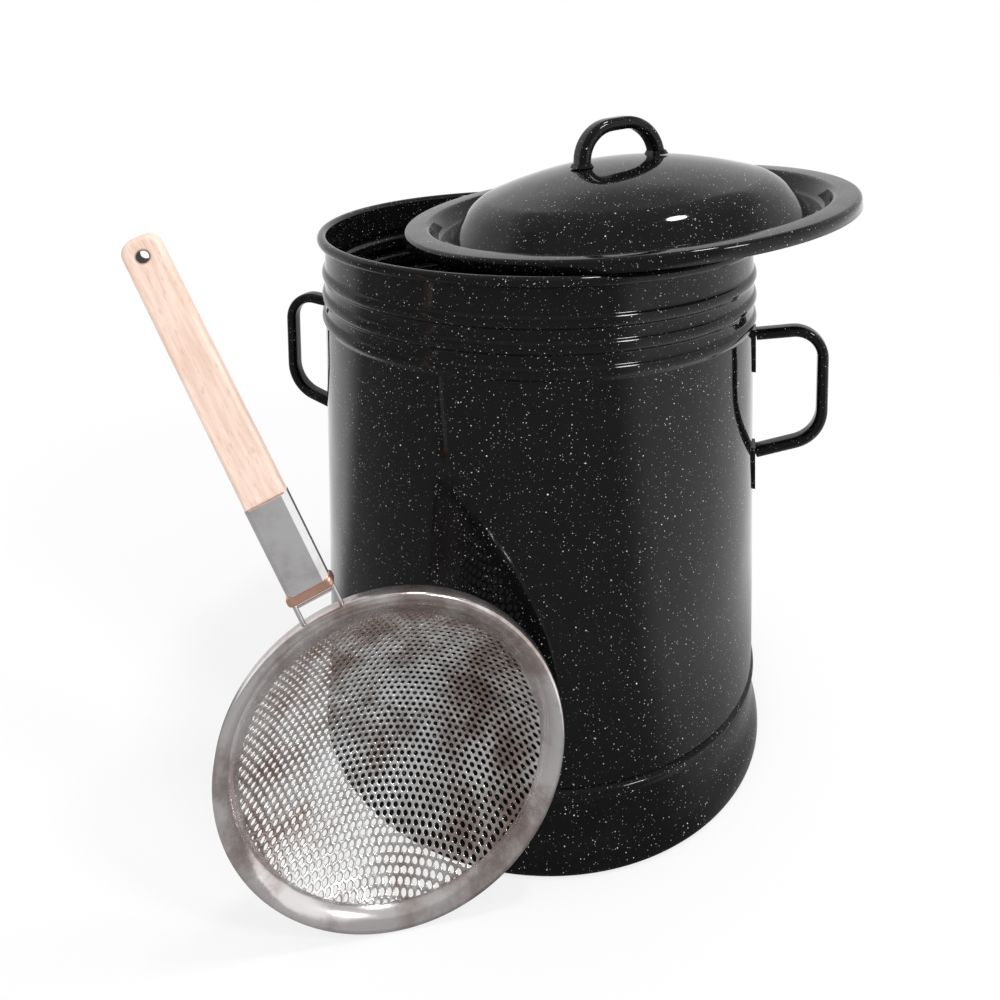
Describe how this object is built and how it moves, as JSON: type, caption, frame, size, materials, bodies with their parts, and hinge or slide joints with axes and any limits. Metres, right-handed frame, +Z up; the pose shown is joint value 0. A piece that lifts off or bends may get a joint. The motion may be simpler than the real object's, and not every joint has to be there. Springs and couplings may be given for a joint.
{
  "type": "grease container with lid and strainer",
  "caption": "Tall round enamelled steel container for bacon grease, with side handles, a loose domed lid and a perforated strainer with a wooden handle.",
  "frame": {"origin": "centre of the container's flat bottom, on the floor", "axes": "+Z up along the container's axis, X through the two side handles, +X towards the side that the lid is pushed to, -Y towards the strainer"},
  "size_m": [0.4321, 0.4522, 0.4353],
  "materials": {
    "enamel": "glossy near-black enamel with fine white speckles",
    "rim_wire": "drawn steel wire",
    "stainless": "polished stainless sheet",
    "copper_wire": "copper-toned metal",
    "polished_steel": "bright polished steel",
    "beech": "pale plain beech"
  },
  "bodies": {
    "container": {"container_wall": "enamel", "mouth_wire": "rim_wire", "base_pan": "enamel", "right_handle": "enamel", "right_handle_upper_foot": "enamel", "right_handle_lower_foot": "enamel", "left_handle": "enamel", "left_handle_upper_foot": "enamel", "left_handle_lower_foot": "enamel"},
    "lid": {"lid_shell": "enamel", "lid_handle": "enamel", "lid_handle_right_foot": "enamel", "lid_handle_left_foot": "enamel"},
    "strainer": {"strainer_bowl": "stainless", "strainer_rim": "stainless", "strainer_rim_wire": "rim_wire", "hook_loop_1": "copper_wire", "hook_loop_2": "copper_wire", "hook_loop_3": "copper_wire", "hook_loop_4": "copper_wire", "fork_wire_right": "polished_steel", "fork_wire_left": "polished_steel", "fork_crossbar": "polished_steel", "collar": "copper_wire", "ferrule": "polished_steel", "wooden_grip": "beech"}
  },
  "joints": [
    {"name": "lid_lift", "type": "slide", "parent": "container", "child": "lid", "axis": [0, 0, 1], "range_m": [0, 0.2]},
    {"name": "strainer_lift", "type": "slide", "parent": "container", "child": "strainer", "axis": [0.267, -0.537, 0.8002], "range_m": [0, 0.3]}
  ]
}
